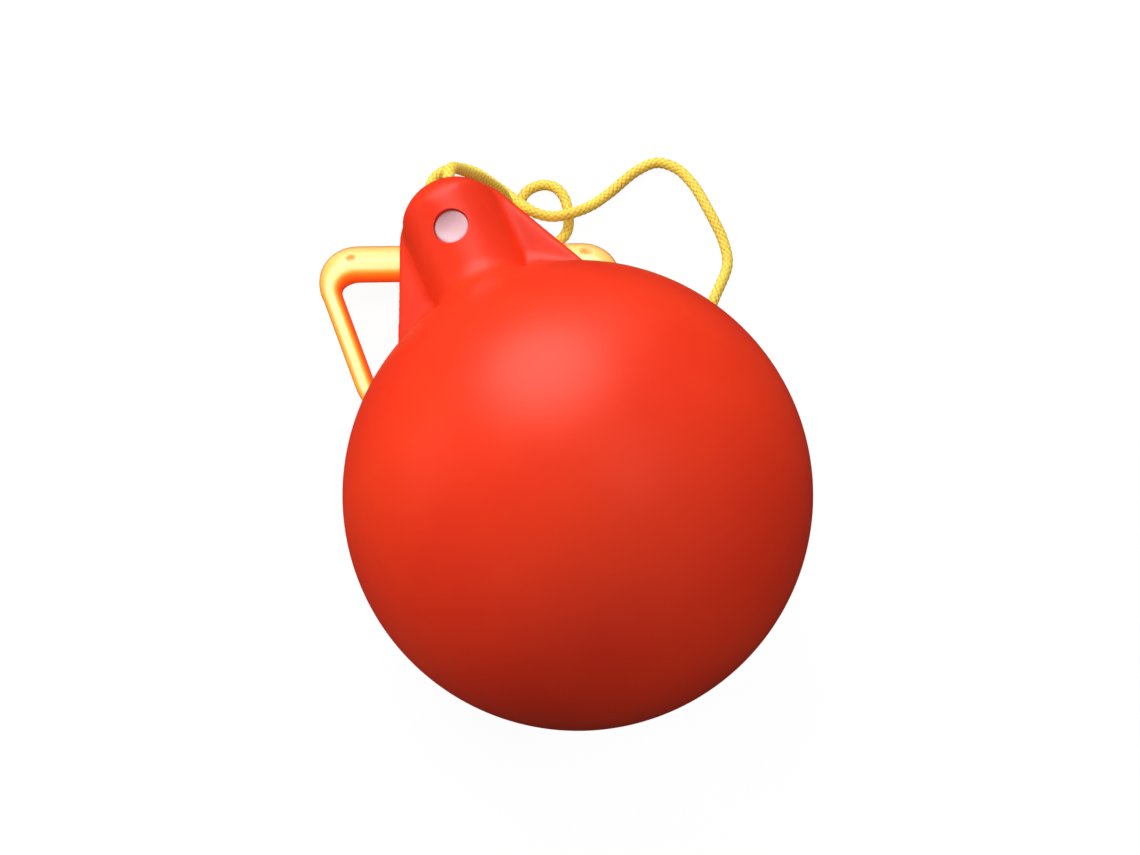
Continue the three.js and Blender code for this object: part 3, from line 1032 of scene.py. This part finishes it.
# Inside the dimples the colour is painted a darker ochre, as painted shade in their hollows.
dimple_value = add_node(clear_yellow, "ShaderNodeAttribute", {"attribute_name": "dimple"})
painted_light_and_shade = add_node(
    clear_yellow,
    "ShaderNodeMix",
    {"data_type": "RGBA"},
    {
        factor_in: dimple_value.outputs["Fac"],
        first_in: bar_painted_light.outputs[mixed_out],
        second_in: linear("e69a30"),
    },
)
# Painted glow: the bar emits its painted colour, most on its inner side, standing for light through the
# plastic.
painted_glow = add_node(
    clear_yellow,
    "ShaderNodeMapRange",
    inputs={
        "Value": depth.outputs["Result"],
        "From Min": 0.2,
        "From Max": 0.8,
        "To Min": 0.08,
        "To Max": 0.55,
    },
)
dyed = add_node(
    clear_yellow,
    "ShaderNodeBsdfPrincipled",
    inputs={
        "Base Color": painted_light_and_shade.outputs[mixed_out],
        "Roughness": 0.16,
        "IOR": 1.5,
        "Transmission Weight": 0.15,
        "Subsurface Weight": 0.3,
        "Subsurface Radius": (1, 0.6, 0.2),
        "Subsurface Scale": 2 * mm,
        "Emission Color": painted_light_and_shade.outputs[mixed_out],
        "Emission Strength": painted_glow.outputs["Result"],
        "Normal": flow_bump.outputs["Normal"],
    },
)
add_node(clear_yellow, "ShaderNodeOutputMaterial", inputs={"Surface": dyed.outputs["BSDF"]})
handle.data.materials.append(clear_yellow)
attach(handle, "handle")
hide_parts("handle")

# The table top and the light: a white sheet of paper, a wide soft lamp above and behind the hammer, three
# weaker cards behind it, at its left and overhead, and an even white surround.

floor_half_width = 3
lamp_distance = 1.3
camera_offset = Vector((-2.64, -157.22, 711.11)) * mm
camera_lens = 59.97
camera_lean = math.radians(16)

floor_bm = bmesh.new()
bmesh.ops.create_grid(floor_bm, x_segments=1, y_segments=1, size=floor_half_width)
floor = piece("white_table", floor_bm, smooth=False)
white_sheet = new_material("white_paper_sheet")
path = add_node(white_sheet, "ShaderNodeLightPath")
through = add_node(
    white_sheet,
    "ShaderNodeMath",
    {"operation": "MAXIMUM"},
    {0: path.outputs["Is Camera Ray"], 1: path.outputs["Is Transmission Ray"]},
)
seen = add_node(
    white_sheet,
    "ShaderNodeMath",
    {"operation": "MULTIPLY"},
    {0: through.outputs[0], 1: 0.93},
)
mirrored = add_node(
    white_sheet,
    "ShaderNodeMapRange",
    inputs={"Value": path.outputs["Is Glossy Ray"], "To Min": 0.14, "To Max": 0.03},
)
bounce = add_node(
    white_sheet,
    "ShaderNodeMapRange",
    inputs={
        "Value": path.outputs["Is Camera Ray"],
        "To Min": mirrored.outputs["Result"],
        "To Max": 0.95,
    },
)
paper = add_node(white_sheet, "ShaderNodeBsdfDiffuse", inputs={"Color": bounce.outputs["Result"]})
glow = add_node(white_sheet, "ShaderNodeEmission", inputs={"Color": (1, 1, 1, 1), "Strength": 1.02})
sheet = add_node(
    white_sheet,
    "ShaderNodeMixShader",
    inputs={0: seen.outputs[0], 1: paper.outputs["BSDF"], 2: glow.outputs["Emission"]},
)
add_node(white_sheet, "ShaderNodeOutputMaterial", inputs={"Surface": sheet.outputs["Shader"]})
floor.data.materials.append(white_sheet)

for name, size, energy, line in (
    ("soft_box", 1.1, 12, (-0.22, 0.7, 0.66)),
    ("back_card", 0.6, 4, (0.15, 0.97, 0.22)),
    ("left_card", 0.6, 9.5, (-0.95, 0.15, 0.3)),
    ("overhead_card", 0.8, 6.2, (0.4, 0, 0.9)),
):
    lamp_data = bpy.data.lights.new(name, "AREA")
    lamp_data.shape = "DISK"
    lamp_data.size = size
    lamp_data.energy = energy
    lamp = bpy.data.objects.new(name, lamp_data)
    lamp_line = Vector(line).normalized()
    lamp.location = ball_centre + lamp_line * lamp_distance
    lamp.rotation_euler = lamp_line.to_track_quat("Z", "Y").to_euler()
    lamp.visible_glossy = name == "soft_box"
    bpy.context.collection.objects.link(lamp)

world = bpy.data.worlds.new("white_room")
world.use_nodes = True
world.node_tree.nodes.clear()
path = add_node(world, "ShaderNodeLightPath")
dim = add_node(
    world,
    "ShaderNodeMapRange",
    inputs={"Value": path.outputs["Is Glossy Ray"], "To Min": 0.3, "To Max": 0.06},
)
strength = add_node(
    world,
    "ShaderNodeMapRange",
    inputs={"Value": path.outputs["Is Camera Ray"], "To Min": dim.outputs["Result"], "To Max": 1},
)
surround = add_node(
    world,
    "ShaderNodeBackground",
    inputs={"Color": (1, 1, 1, 1), "Strength": strength.outputs["Result"]},
)
add_node(world, "ShaderNodeOutputWorld", inputs={"Surface": surround.outputs["Background"]})
bpy.context.scene.world = world

camera_data = bpy.data.cameras.new("camera")
camera_data.sensor_width = 36
camera_data.lens = camera_lens
camera = bpy.data.objects.new("camera", camera_data)
camera.location = floor_below + camera_offset
camera.rotation_euler = (camera_lean, 0, 0)
bpy.context.collection.objects.link(camera)
bpy.context.scene.camera = camera
bpy.context.scene.view_settings.view_transform = "Standard"
